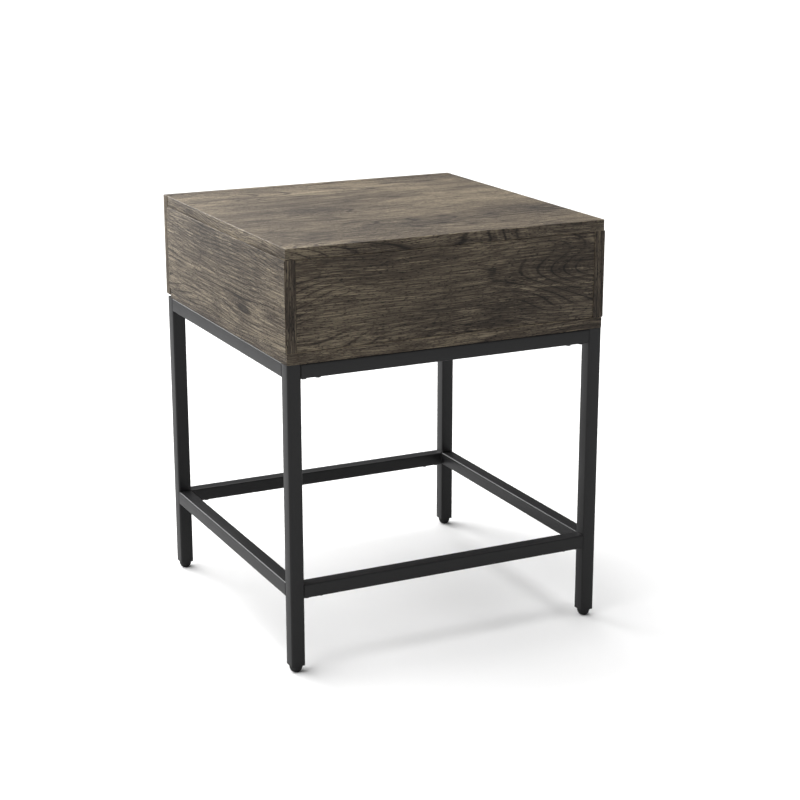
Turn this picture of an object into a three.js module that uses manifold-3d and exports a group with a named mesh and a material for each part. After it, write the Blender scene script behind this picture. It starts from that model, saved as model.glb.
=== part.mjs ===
// A side table with one push-to-open drawer: a laminated board case on a square steel tube frame.
// Millimetres, +Z up. The origin is on the floor, under the middle of the table's bounding box.
// The drawer opens towards -Y. Left and right are those of a person who faces the drawer: right is +X.
import * as THREE from "three";
import { mergeVertices } from "three/addons/utils/BufferGeometryUtils.js";
import Module from "manifold-3d";

const wasm = await Module();
wasm.setup();

// ---- Driving dimensions -------------------------------------------------------------------------

// Overall
const tableHeight = 559;
const topWidth = 455;
const caseDepth = 427.5;
const frameHeight = 412.5;

// Case boards
const topThickness = 15;
const bottomThickness = 15;
const sideThickness = 15;
const backThickness = 15;
const sideProud = 1.5; // how far the side panels stand out past the top and bottom panels
const backRecess = 0.5; // how far the back panel sits in from the case's back edges
const panelClearance = 0.25; // round the back panel, inside its frame of boards

// Steel frame
const tubeSize = 19;
const tubeWall = 1.2;
const tubeCornerRadius = 2;
const frameFrontReach = 12.5; // how far the frame stands out in front of the case
const lowerRailTop = 121;
const crossbarEndGap = 0.3;

// Tongues: square bars welded to the legs, which the crossbars slide over
const tongueLength = 36;
const tongueClearance = 0.4;
const tongueWeldDepth = 0.6; // how far a tongue's end is sunk into the leg's wall

// Crossbar screws, driven up into the tongues, two at each end
const screwShankRadius = 2.5;
const screwHeadRadius = 4.6;
const screwHeadHeight = 2.7;
const screwBite = 8; // thread length inside the tongue
const screwSocketFlats = 3;
const screwSocketDepth = 1.6;
const firstScrewFromLeg = 7;
const screwSpacing = 19.5;
const holeClearance = 0.3; // radial, in every hole that a screw or bolt passes through

// Case bolts, driven up through the upper side rails into the bottom panel
const boltShankRadius = 3;
const boltHeadRadius = 5.5;
const boltHeadHeight = 3.4;
const boltBite = 10; // thread length inside the bottom panel
const boltSocketFlats = 4;
const boltSocketDepth = 2.2;
const boltFromRailEnd = 60;

// Tube-end inserts and levelling feet
const insertFlange = 1.2;
const insertHeight = 14; // above its flange
const insertClearance = 0.2;
const studRadius = 2.9;
const studHoleClearance = 0.2;
const studLength = 22; // above the foot's shoulder
const footRadius = 8.8;
const footHeight = 9.2;
const footPadRadius = 3.6; // the flat that stands on the floor
const footShoulderGap = 0.3;

// Drawer
const drawerFrontThickness = 15;
const drawerFrontGap = 2.5; // the push-in room between the case and the drawer front
const drawerFrontClearance = 3.5; // above the steel frame
const drawerBoardThickness = 12;
const drawerSideHeight = 85;
const drawerSideRise = 12.5; // the drawer sides' lower edge above the bottom panel
const drawerBottomThickness = 4;
const grooveDepth = 5;
const grooveRise = 10; // the groove's lower wall above the drawer sides' lower edge
const grooveClearance = 0.3;

// Ball-bearing slides
const slideHeight = 35;
const slideThickness = 12.7; // the room between the case side and the drawer side
const slideSheet = 1.2;
const slideBallGap = 2; // the balls' room between two members, above and below
const slideWebGap = 1; // between two members' webs
const slideSetback = 2; // the slides' front ends behind the case's front edge
const slideBackClearance = 5; // the slides' back ends short of the drawer's back
const middleMemberShorter = 10;

// Push latch on the back panel, and its striker on the drawer back
const latchRoom = 62; // from the drawer's back face to the back panel
const latchLength = 50;
const latchWidth = 20;
const latchHeight = 14;
const latchFlangeWidth = 42;
const latchFlangeThickness = 3;
const latchBackWall = 8;
const plungerRadius = 4.4;
const plungerClearance = 0.4;
const plungerInside = 36; // the plunger's length inside the housing
const plungerTipRadius = 3.2;
const plungerTipLength = 1.5;
const plungerStandOff = 2.3; // from the plunger's tip to the striker
const strikerSize = 24;
const strikerThickness = 1;

// Round shapes
const cornerSegments = 2;
const screwSides = 12;
const latchSides = 20;
const footSides = 20;
const domeSteps = 5;

// ---- Places worked out from the driving dimensions ----------------------------------------------

const caseWidth = topWidth + 2 * sideProud;
const frameDepth = caseDepth + frameFrontReach;
const totalDepth = caseDepth + drawerFrontGap + drawerFrontThickness;
const backY = totalDepth / 2;
const caseFrontY = backY - caseDepth;
const frameFrontY = backY - frameDepth;
const drawerFrontY = -totalDepth / 2;
const drawerFrontBackY = drawerFrontY + drawerFrontThickness;
const backPanelInnerY = backY - backRecess - backThickness;
const drawerBackY = backPanelInnerY - latchRoom;

const bottomTopZ = frameHeight + bottomThickness;
const topUnderZ = tableHeight - topThickness;
const innerHalfWidth = caseWidth / 2 - sideThickness;
const drawerHalfWidth = innerHalfWidth - slideThickness;
const drawerInnerHalfWidth = drawerHalfWidth - drawerBoardThickness;
const drawerLowZ = bottomTopZ + drawerSideRise;
const drawerHighZ = drawerLowZ + drawerSideHeight;
const drawerMiddleZ = (drawerLowZ + drawerHighZ) / 2;
const grooveLowZ = drawerLowZ + grooveRise;
const grooveHighZ = grooveLowZ + drawerBottomThickness + 2 * grooveClearance;

const legX = topWidth / 2 - tubeSize / 2;
const legY = { front: frameFrontY + tubeSize / 2, back: backY - tubeSize / 2 };
const tubeBottomZ = footHeight + footShoulderGap + insertFlange;
const railCentreZ = { upper: frameHeight - tubeSize / 2, lower: lowerRailTop - tubeSize / 2 };
const tubeInside = tubeSize - 2 * tubeWall;
const tongueSize = tubeInside - 2 * tongueClearance;
const screwDistances = [firstScrewFromLeg, firstScrewFromLeg + screwSpacing];

// ---- Materials ----------------------------------------------------------------------------------

const laminate = new THREE.MeshStandardMaterial({ color: 0x5f554b, roughness: 0.55 });
const drawerBoard = new THREE.MeshStandardMaterial({ color: 0x4a443e, roughness: 0.7 });
const hardboard = new THREE.MeshStandardMaterial({ color: 0x57493b, roughness: 0.8 });
const blackSteel = new THREE.MeshStandardMaterial({ color: 0x232324, roughness: 0.5, metalness: 0.3 });
const blackScrew = new THREE.MeshStandardMaterial({ color: 0x17171a, roughness: 0.4, metalness: 0.8 });
const zincSteel = new THREE.MeshStandardMaterial({ color: 0xa9adb0, roughness: 0.35, metalness: 0.9 });
const blackPlastic = new THREE.MeshStandardMaterial({ color: 0x161616, roughness: 0.6 });
const greyPlastic = new THREE.MeshStandardMaterial({ color: 0x8b8d8f, roughness: 0.6 });

// ---- Solids -------------------------------------------------------------------------------------

// A closed geometry as a solid that can be joined and cut.
function solid(geometry) {
  const bare = geometry.clone();
  bare.deleteAttribute("normal");
  bare.deleteAttribute("uv");
  const merged = mergeVertices(bare, 1e-4);
  return new wasm.Manifold(
    new wasm.Mesh({
      numProp: 3,
      vertProperties: merged.getAttribute("position").array,
      triVerts: new Uint32Array(merged.index.array),
    }),
  );
}

// A solid as a geometry with flat faces.
function geometryOf(made) {
  const mesh = made.getMesh();
  const geometry = new THREE.BufferGeometry();
  geometry.setAttribute("position", new THREE.BufferAttribute(mesh.vertProperties, 3));
  geometry.setIndex(new THREE.BufferAttribute(mesh.triVerts, 1));
  const flat = geometry.toNonIndexed();
  flat.computeVertexNormals();
  return flat;
}

function piece(name, geometry, material, x = 0, y = 0, z = 0) {
  const mesh = new THREE.Mesh(geometry, material);
  mesh.name = name;
  mesh.position.set(x, y, z);
  return mesh;
}

// A box between two corners.
function box(low, high) {
  const a = new THREE.Vector3(...low);
  const b = new THREE.Vector3(...high);
  const centre = a.clone().add(b).multiplyScalar(0.5);
  const size = b.clone().sub(a);
  const place = new THREE.Matrix4().compose(centre, new THREE.Quaternion(), size);
  return new THREE.BoxGeometry(1, 1, 1).applyMatrix4(place);
}

// An upright cylinder between two heights.
function shaft(radius, x, y, lowZ, highZ) {
  const geometry = new THREE.CylinderGeometry(radius, radius, highZ - lowZ, screwSides);
  geometry.rotateX(Math.PI / 2);
  return geometry.translate(x, y, (lowZ + highZ) / 2);
}

function roundedSquare(path, half, radius) {
  const flat = half - radius;
  path.moveTo(half, -flat);
  path.lineTo(half, flat);
  path.absarc(flat, flat, radius, 0, Math.PI / 2);
  path.lineTo(-flat, half);
  path.absarc(-flat, flat, radius, Math.PI / 2, Math.PI);
  path.lineTo(-half, -flat);
  path.absarc(-flat, -flat, radius, Math.PI, 1.5 * Math.PI);
  path.lineTo(flat, -half);
  path.absarc(flat, -flat, radius, 1.5 * Math.PI, 2 * Math.PI);
  return path;
}

// A square tube along +Z that starts at 0.
function squareTube(length) {
  const section = roundedSquare(new THREE.Shape(), tubeSize / 2, tubeCornerRadius);
  const innerRadius = Math.max(tubeCornerRadius - tubeWall, 0.4);
  section.holes.push(roundedSquare(new THREE.Path(), tubeInside / 2, innerRadius));
  return new THREE.ExtrudeGeometry(section, {
    depth: length,
    bevelEnabled: false,
    curveSegments: cornerSegments,
  });
}

// A button-head socket screw along +Z: its head's underside is at 0 and its head hangs below.
function socketScrew(shankRadius, shankLength, headRadius, headHeight, socketFlats, socketDepth) {
  const chamfer = shankRadius * 0.3;
  const crownRadius = headRadius * 0.62;
  const outline = [
    new THREE.Vector2(0, -headHeight),
    new THREE.Vector2(crownRadius, -headHeight),
    new THREE.Vector2(headRadius * 0.88, -headHeight * 0.66),
    new THREE.Vector2(headRadius, -headHeight * 0.2),
    new THREE.Vector2(headRadius, 0),
    new THREE.Vector2(shankRadius, 0),
    new THREE.Vector2(shankRadius, shankLength - chamfer),
    new THREE.Vector2(shankRadius - chamfer, shankLength),
    new THREE.Vector2(0, shankLength),
  ];
  const body = new THREE.LatheGeometry(outline, screwSides).rotateX(Math.PI / 2);
  const socketRadius = socketFlats / Math.sqrt(3);
  const socket = new THREE.CylinderGeometry(socketRadius, socketRadius, 2 * socketDepth, 6);
  socket.rotateX(Math.PI / 2).translate(0, 0, -headHeight);
  return geometryOf(solid(body).subtract(solid(socket)));
}

// ---- Steel frame --------------------------------------------------------------------------------

const sides = { left: -1, right: 1 };
const ends = ["front", "back"];
const levels = ["upper", "lower"];

// A leg with its tube upright at x = 0, y = 0, and two tongues that point to the table's middle.
function legGeometry(side) {
  const length = frameHeight - tubeBottomZ;
  let leg = solid(squareTube(length).translate(0, 0, tubeBottomZ));
  const inward = -side;
  for (const level of levels) {
    const rootX = inward * (tubeSize / 2 - tongueWeldDepth);
    const tipX = inward * (tubeSize / 2 + tongueLength);
    const z = railCentreZ[level];
    const low = [Math.min(rootX, tipX), -tongueSize / 2, z - tongueSize / 2];
    const high = [Math.max(rootX, tipX), tongueSize / 2, z + tongueSize / 2];
    let tongue = solid(box(low, high));
    for (const distance of screwDistances) {
      const x = inward * (tubeSize / 2 + distance);
      const hole = shaft(screwShankRadius + holeClearance, x, 0, z - tubeSize, z + tubeSize);
      tongue = tongue.subtract(solid(hole));
    }
    leg = leg.add(tongue);
  }
  return geometryOf(leg);
}

// A crossbar along X, centred, with screw holes through its lower wall at both ends.
function crossbarGeometry() {
  const legInnerX = legX - tubeSize / 2;
  const half = legInnerX - crossbarEndGap;
  const tube = squareTube(2 * half).translate(0, 0, -half).rotateY(Math.PI / 2);
  let bar = solid(tube);
  for (const side of Object.values(sides)) {
    for (const distance of screwDistances) {
      const x = side * (legInnerX - distance);
      bar = bar.subtract(solid(shaft(screwShankRadius + holeClearance, x, 0, -tubeSize, 0)));
    }
  }
  return geometryOf(bar);
}

const sideRailLength = frameDepth - 2 * tubeSize;
const boltYs = [
  legY.front + tubeSize / 2 + boltFromRailEnd,
  legY.back - tubeSize / 2 - boltFromRailEnd,
];

// A side rail along Y, from its front end at y = 0; an upper one is drilled for the case bolts.
function sideRailGeometry(level) {
  const tube = squareTube(sideRailLength).rotateX(-Math.PI / 2);
  if (level === "lower") return tube;
  let rail = solid(tube);
  for (const boltY of boltYs) {
    const y = boltY - (legY.front + tubeSize / 2);
    rail = rail.subtract(solid(shaft(boltShankRadius + holeClearance, 0, y, -tubeSize, tubeSize)));
  }
  return geometryOf(rail);
}

const frame = new THREE.Group();
for (const [sideName, side] of Object.entries(sides)) {
  const geometry = legGeometry(side);
  for (const end of ends) {
    frame.add(piece(`leg_${end}_${sideName}`, geometry, blackSteel, side * legX, legY[end], 0));
  }
}
for (const level of levels) {
  const z = railCentreZ[level];
  const crossbar = crossbarGeometry();
  for (const end of ends) {
    frame.add(piece(`${level}_crossbar_${end}`, crossbar, blackSteel, 0, legY[end], z));
  }
  const rail = sideRailGeometry(level);
  const railFrontY = legY.front + tubeSize / 2;
  for (const [sideName, side] of Object.entries(sides)) {
    frame.add(piece(`${level}_rail_${sideName}`, rail, blackSteel, side * legX, railFrontY, z));
  }
}

// Crossbar screws: two at each end of each crossbar, with their heads under the tube.
const screwLength = tubeWall + tongueClearance + screwBite;
const screw = socketScrew(
  screwShankRadius,
  screwLength,
  screwHeadRadius,
  screwHeadHeight,
  screwSocketFlats,
  screwSocketDepth,
);
for (const level of levels) {
  for (const end of ends) {
    for (const [sideName, side] of Object.entries(sides)) {
      screwDistances.forEach((distance, index) => {
        const name = `${level}_${end}_${sideName}_screw_${index + 1}`;
        const x = side * (legX - tubeSize / 2 - distance);
        frame.add(piece(name, screw, blackScrew, x, legY[end], railCentreZ[level] - tubeSize / 2));
      });
    }
  }
}

// Case bolts: two through each upper side rail.
const bolt = socketScrew(
  boltShankRadius,
  tubeSize + boltBite,
  boltHeadRadius,
  boltHeadHeight,
  boltSocketFlats,
  boltSocketDepth,
);
const boltNames = ["front", "back"];
for (const [sideName, side] of Object.entries(sides)) {
  boltYs.forEach((y, index) => {
    const name = `case_bolt_${boltNames[index]}_${sideName}`;
    frame.add(piece(name, bolt, blackScrew, side * legX, y, frameHeight - tubeSize));
  });
}

// ---- Levelling feet -----------------------------------------------------------------------------

// A square block with rounded corners, upright between two heights.
function roundedBlock(half, radius, lowZ, highZ) {
  const section = roundedSquare(new THREE.Shape(), half, radius);
  const block = new THREE.ExtrudeGeometry(section, {
    depth: highZ - lowZ,
    bevelEnabled: false,
    curveSegments: cornerSegments,
  });
  return block.translate(0, 0, lowZ);
}

// A plug for a tube's end: a flange under the tube, a body inside it and a hole for the stud.
function insertGeometry() {
  const flange = roundedBlock(tubeSize / 2, tubeCornerRadius, 0, insertFlange);
  const bodyHalf = tubeInside / 2 - insertClearance;
  const bodyTop = insertFlange + insertHeight;
  const body = roundedBlock(bodyHalf, tubeCornerRadius, insertFlange / 2, bodyTop);
  const hole = shaft(studRadius + studHoleClearance, 0, 0, -insertHeight, 2 * insertHeight);
  return geometryOf(solid(flange).add(solid(body)).subtract(solid(hole)));
}

// A domed foot on a plain stud, with its pad on the floor at z = 0.
function footGeometry() {
  const outline = [new THREE.Vector2(0, 0)];
  for (let step = 0; step <= domeSteps; step++) {
    const angle = (step / domeSteps) * (Math.PI / 2);
    const radius = footPadRadius + (footRadius - footPadRadius) * Math.sin(angle);
    const height = footHeight * (1 - Math.cos(angle));
    outline.push(new THREE.Vector2(radius, height));
  }
  const top = footHeight + studLength;
  outline.push(new THREE.Vector2(studRadius, footHeight));
  outline.push(new THREE.Vector2(studRadius, top - 1));
  outline.push(new THREE.Vector2(studRadius - 1, top));
  outline.push(new THREE.Vector2(0, top));
  return new THREE.LatheGeometry(outline, footSides).rotateX(Math.PI / 2);
}

const feet = new THREE.Group();
const insert = insertGeometry();
const foot = footGeometry();
for (const [sideName, side] of Object.entries(sides)) {
  for (const end of ends) {
    const x = side * legX;
    const y = legY[end];
    const flangeZ = footHeight + footShoulderGap;
    feet.add(piece(`tube_insert_${end}_${sideName}`, insert, blackPlastic, x, y, flangeZ));
    feet.add(piece(`levelling_foot_${end}_${sideName}`, foot, blackPlastic, x, y, 0));
  }
}

// ---- Case ---------------------------------------------------------------------------------------

const cabinet = new THREE.Group();
const topHalf = topWidth / 2;
cabinet.add(
  piece(
    "top_panel",
    box([-topHalf, caseFrontY, topUnderZ], [topHalf, backY, tableHeight]),
    laminate,
  ),
);

let bottomPanel = solid(
  box([-topHalf, caseFrontY, frameHeight], [topHalf, backY, bottomTopZ]),
);
for (const side of Object.values(sides)) {
  for (const y of boltYs) {
    const holeTop = frameHeight + boltBite + holeClearance;
    const hole = shaft(boltShankRadius + holeClearance, side * legX, y, frameHeight - 1, holeTop);
    bottomPanel = bottomPanel.subtract(solid(hole));
  }
}
cabinet.add(piece("bottom_panel", geometryOf(bottomPanel), laminate));

for (const [sideName, side] of Object.entries(sides)) {
  const faces = [side * innerHalfWidth, (side * caseWidth) / 2];
  const low = [Math.min(...faces), caseFrontY, bottomTopZ];
  const high = [Math.max(...faces), backY, topUnderZ];
  cabinet.add(piece(`side_panel_${sideName}`, box(low, high), laminate));
}

const backHalf = innerHalfWidth - panelClearance;
cabinet.add(
  piece(
    "back_panel",
    box(
      [-backHalf, backPanelInnerY, bottomTopZ + panelClearance],
      [backHalf, backY - backRecess, topUnderZ - panelClearance],
    ),
    laminate,
  ),
);

// ---- Drawer -------------------------------------------------------------------------------------

const drawer = new THREE.Group();

const frontBoard = solid(
  box(
    [-topHalf, drawerFrontY, frameHeight + drawerFrontClearance],
    [topHalf, drawerFrontBackY, tableHeight],
  ),
);
const frontGroove = solid(
  box(
    [-drawerHalfWidth, drawerFrontBackY - grooveDepth, grooveLowZ],
    [drawerHalfWidth, drawerFrontBackY + 1, grooveHighZ],
  ),
);
drawer.add(piece("drawer_front", geometryOf(frontBoard.subtract(frontGroove)), laminate));

for (const [sideName, side] of Object.entries(sides)) {
  const faces = [side * drawerInnerHalfWidth, side * drawerHalfWidth];
  const board = solid(
    box(
      [Math.min(...faces), drawerFrontBackY, drawerLowZ],
      [Math.max(...faces), drawerBackY, drawerHighZ],
    ),
  );
  const cut = [side * (drawerInnerHalfWidth - 1), side * (drawerInnerHalfWidth + grooveDepth)];
  const groove = solid(
    box(
      [Math.min(...cut), drawerFrontBackY - 1, grooveLowZ],
      [Math.max(...cut), drawerBackY + 1, grooveHighZ],
    ),
  );
  drawer.add(piece(`drawer_side_${sideName}`, geometryOf(board.subtract(groove)), drawerBoard));
}

const drawerBackFrontY = drawerBackY - drawerBoardThickness;
drawer.add(
  piece(
    "drawer_back",
    box(
      [-drawerInnerHalfWidth, drawerBackFrontY, grooveHighZ],
      [drawerInnerHalfWidth, drawerBackY, drawerHighZ],
    ),
    drawerBoard,
  ),
);

const drawerBottomHalf = drawerInnerHalfWidth + grooveDepth - grooveClearance;
drawer.add(
  piece(
    "drawer_bottom",
    box(
      [-drawerBottomHalf, drawerFrontBackY - grooveDepth + grooveClearance, grooveLowZ + grooveClearance],
      [drawerBottomHalf, drawerBackY, grooveHighZ - grooveClearance],
    ),
    hardboard,
  ),
);

// ---- Drawer slides ------------------------------------------------------------------------------

// A channel along Y from y = 0 towards -Y. Its web stands at u = web, and its flanges run to u = reach.
// u is measured from the case side towards the drawer.
function channelGeometry(side, web, reach, height, length) {
  const toX = (u) => -side * u;
  const towards = Math.sign(reach - web);
  const webInner = web + towards * slideSheet;
  const half = height / 2;
  const inner = half - slideSheet;
  const outline = [
    [web, -half],
    [reach, -half],
    [reach, -inner],
    [webInner, -inner],
    [webInner, inner],
    [reach, inner],
    [reach, half],
    [web, half],
  ];
  const section = new THREE.Shape(outline.map(([u, z]) => new THREE.Vector2(toX(u), z)));
  const channel = new THREE.ExtrudeGeometry(section, { depth: length, bevelEnabled: false });
  return channel.rotateX(Math.PI / 2);
}

const slides = new THREE.Group();
const slideBackY = drawerBackY - slideBackClearance;
const slideLength = slideBackY - (caseFrontY + slideSetback);
const middleWeb = slideSheet + slideWebGap;
const innerReach = middleWeb + slideSheet + slideWebGap;
const middleHeight = slideHeight - 2 * (slideSheet + slideBallGap);
const innerHeight = middleHeight - 2 * (slideSheet + slideBallGap);
const outerReach = slideThickness - slideSheet - slideWebGap;
const middleLength = slideLength - middleMemberShorter;
for (const [sideName, side] of Object.entries(sides)) {
  const x = side * innerHalfWidth;
  const outer = channelGeometry(side, 0, outerReach, slideHeight, slideLength);
  const middle = channelGeometry(side, middleWeb, outerReach, middleHeight, middleLength);
  const inner = channelGeometry(side, slideThickness, innerReach, innerHeight, slideLength);
  const middleBackY = slideBackY - middleMemberShorter / 2;
  slides.add(piece(`slide_outer_${sideName}`, outer, zincSteel, x, slideBackY, drawerMiddleZ));
  slides.add(piece(`slide_middle_${sideName}`, middle, zincSteel, x, middleBackY, drawerMiddleZ));
  slides.add(piece(`slide_inner_${sideName}`, inner, zincSteel, x, slideBackY, drawerMiddleZ));
}

// ---- Push latch ---------------------------------------------------------------------------------

const latch = new THREE.Group();
latch.position.set(0, backPanelInnerY, drawerMiddleZ);

// The housing runs forward from the back panel, with a blind bore for the plunger.
const housingBlock = solid(
  box([-latchWidth / 2, -latchLength, -latchHeight / 2], [latchWidth / 2, 0, latchHeight / 2]),
);
const housingFlange = solid(
  box(
    [-latchFlangeWidth / 2, -latchFlangeThickness, -latchHeight / 2],
    [latchFlangeWidth / 2, 0, latchHeight / 2],
  ),
);
const boreRadius = plungerRadius + plungerClearance;
const boreLength = latchLength - latchBackWall + 1;
const bore = new THREE.CylinderGeometry(boreRadius, boreRadius, boreLength, latchSides);
bore.translate(0, -latchBackWall - boreLength / 2, 0);
latch.add(
  piece(
    "latch_housing",
    geometryOf(housingBlock.add(housingFlange).subtract(solid(bore))),
    greyPlastic,
  ),
);

const tipY = -latchRoom + strikerThickness + plungerStandOff;
const plungerBackY = -latchLength + plungerInside;
const plungerOutline = [
  new THREE.Vector2(0, tipY),
  new THREE.Vector2(plungerTipRadius, tipY),
  new THREE.Vector2(plungerRadius, tipY + plungerTipLength),
  new THREE.Vector2(plungerRadius, plungerBackY),
  new THREE.Vector2(0, plungerBackY),
];
latch.add(piece("latch_plunger", new THREE.LatheGeometry(plungerOutline, latchSides), greyPlastic));

const striker = box(
  [-strikerSize / 2, drawerBackY, drawerMiddleZ - strikerSize / 2],
  [strikerSize / 2, drawerBackY + strikerThickness, drawerMiddleZ + strikerSize / 2],
);
drawer.add(piece("latch_striker", striker, zincSteel));

// ---- The table ----------------------------------------------------------------------------------

const table = new THREE.Group();
table.add(frame, feet, cabinet, drawer, slides, latch);
export default table;
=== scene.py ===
"""A side table with one push-to-open drawer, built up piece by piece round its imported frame."""
import math

import bmesh
import bpy
from mathutils import Matrix, Vector


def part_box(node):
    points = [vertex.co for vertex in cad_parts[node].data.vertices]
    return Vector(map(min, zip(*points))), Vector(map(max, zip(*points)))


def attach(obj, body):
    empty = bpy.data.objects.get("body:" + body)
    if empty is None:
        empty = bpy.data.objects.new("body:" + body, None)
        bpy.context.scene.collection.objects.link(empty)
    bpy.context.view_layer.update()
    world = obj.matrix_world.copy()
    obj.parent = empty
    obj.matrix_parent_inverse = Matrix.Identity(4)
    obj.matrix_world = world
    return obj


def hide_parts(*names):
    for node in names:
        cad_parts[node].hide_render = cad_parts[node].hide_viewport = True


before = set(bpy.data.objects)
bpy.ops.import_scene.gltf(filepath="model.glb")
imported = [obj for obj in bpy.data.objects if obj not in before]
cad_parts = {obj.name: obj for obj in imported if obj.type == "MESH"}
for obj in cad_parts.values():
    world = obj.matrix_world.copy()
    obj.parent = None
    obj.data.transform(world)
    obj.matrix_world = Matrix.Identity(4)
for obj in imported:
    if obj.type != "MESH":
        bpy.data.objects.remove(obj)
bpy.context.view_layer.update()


# ---- Side frames ---------------------------------------------------------------------------------
# Two welded frames of 19 mm square steel tube, 1.2 mm in the wall, rolled with a 2 mm corner.
# Each is two legs and two side rails, and each leg has two tongues that the crossbars slide over.
# The steel is blasted and powder coated matt black once it is welded.

MM = 0.001
ENDS = ("front", "back")
SIDES = {"left": -1, "right": 1}
X, Y, Z = range(3)
TUBE_WALL = 1.2 * MM
TUBE_CORNER = 2 * MM
CORNER_STEPS = 5
TONGUE_CLEARANCE = 0.4 * MM
TONGUE_EDGE = 0.6 * MM
FINE_STEPS = 2
SMOOTH_UNDER = math.radians(35)
ALIGNED = 0.9  # the cosine from which an edge or a face counts as lying along an axis


def only(piece):
    """Makes one piece the only one that the operators work on."""
    bpy.ops.object.select_all(action="DESELECT")
    piece.select_set(True)
    bpy.context.view_layer.objects.active = piece


def settle(name):
    """Names the primitive just added, and moves its place, turn and size into its mesh."""
    piece = bpy.context.object
    piece.name = piece.data.name = name
    bpy.ops.object.transform_apply(location=True, rotation=True, scale=True)
    return piece


def block(name, low, high):
    """A box between two corners."""
    low, high = Vector(low), Vector(high)
    bpy.ops.object.select_all(action="DESELECT")
    bpy.ops.mesh.primitive_cube_add(size=1, location=(low + high) / 2)
    bpy.context.object.scale = high - low
    return settle(name)


def select(piece, kind, test):
    """In edit mode, selects the verts, edges or faces that pass a test, and nothing else."""
    modes = {"verts": "VERT", "edges": "EDGE", "faces": "FACE"}
    bpy.ops.mesh.select_mode(type=modes[kind])
    bpy.ops.mesh.select_all(action="DESELECT")
    shape = bmesh.from_edit_mesh(piece.data)
    for part in getattr(shape, kind):
        if test(part):
            part.select_set(True)
    bmesh.update_edit_mesh(piece.data)


def runs_along(axis):
    """A test for edges that run along an axis."""
    return lambda edge: abs((edge.verts[0].co - edge.verts[1].co).normalized()[axis]) > ALIGNED


def faces_along(axis, sign=0):
    """A test for faces that face along an axis, one way or both."""
    if sign:
        return lambda face: face.normal[axis] * sign > ALIGNED
    return lambda face: abs(face.normal[axis]) > ALIGNED


def finish_with(piece, kind, **settings):
    """Adds a modifier and applies it."""
    only(piece)
    modifier = piece.modifiers.new(kind.lower(), kind)
    for name, value in settings.items():
        setattr(modifier, name, value)
    bpy.ops.object.modifier_apply(modifier=modifier.name)


def smooth(piece):
    """Shades a piece smooth, but for its sharp edges."""
    only(piece)
    bpy.ops.object.shade_smooth_by_angle(angle=SMOOTH_UNDER)


def folded_sheet(name, low, high, along, wall, radius, open_face=None):
    """A box of sheet metal with no ends, and with one more side open for a channel."""
    piece = block(name, low, high)
    bpy.ops.object.mode_set(mode="EDIT")
    select(piece, "faces", faces_along(along))
    bpy.ops.mesh.delete(type="ONLY_FACE")
    if open_face:
        select(piece, "faces", faces_along(*open_face))
        bpy.ops.mesh.delete(type="ONLY_FACE")
    is_long = runs_along(along)
    select(piece, "edges", lambda edge: len(edge.link_faces) == 2 and is_long(edge))
    bpy.ops.mesh.bevel(offset=radius, segments=CORNER_STEPS)
    bpy.ops.object.mode_set(mode="OBJECT")
    finish_with(piece, "SOLIDIFY", thickness=wall, offset=-1, use_even_offset=True)
    smooth(piece)
    return piece


def join(piece, *others):
    """Makes several pieces one, under the first one's name."""
    only(piece)
    for other in others:
        other.select_set(True)
    bpy.ops.object.join()
    return piece


def copy_of(piece, name, shift=(0, 0, 0), facing=(0, 0, 1)):
    """A copy with a mesh of its own, whose upright axis is turned to face a way, and is moved."""
    made = piece.copy()
    made.data = piece.data.copy()
    made.name = made.data.name = name
    turn = Vector((0, 0, 1)).rotation_difference(Vector(facing)).to_matrix().to_4x4()
    made.data.transform(Matrix.Translation(Vector(shift)) @ turn)
    bpy.context.scene.collection.objects.link(made)
    return made


def place(piece, body, slot, material, *nodes):
    """Gives a finished piece its finish and its body, and hides the nodes that it stands for."""
    piece.data.materials.clear()
    piece.data.materials.append(material)
    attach(piece, body)
    if nodes:
        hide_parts(*nodes)


def paint(code):
    """An sRGB colour written as a hex number, as the linear values that a shader takes."""
    shares = [(code >> shift & 255) / 255 for shift in (16, 8, 0)]
    linear = [s / 12.92 if s <= 0.04045 else ((s + 0.055) / 1.055) ** 2.4 for s in shares]
    return (*linear, 1)


def new_material(name):
    """A material with its node tree and its shader."""
    material = bpy.data.materials.new(name)
    material.use_nodes = True
    return material, material.node_tree, material.node_tree.nodes["Principled BSDF"]


def add(tree, kind, inputs, **settings):
    """Adds a node with its settings, and sets or links its inputs."""
    node = tree.nodes.new("ShaderNode" + kind)
    for name, value in settings.items():
        setattr(node, name, value)
    for socket, value in inputs.items():
        if isinstance(value, bpy.types.NodeSocket):
            tree.links.new(value, node.inputs[socket])
        else:
            node.inputs[socket].default_value = value
    return node


def finish(tree, shader, colour, rough, normal=None, **values):
    """Links a finish's colour, roughness and relief to its shader, and sets what is even on it."""
    tree.links.new(colour, shader.inputs["Base Color"])
    tree.links.new(rough, shader.inputs["Roughness"])
    if normal:
        tree.links.new(normal, shader.inputs["Normal"])
    for name, value in values.items():
        shader.inputs[name].default_value = value


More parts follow.
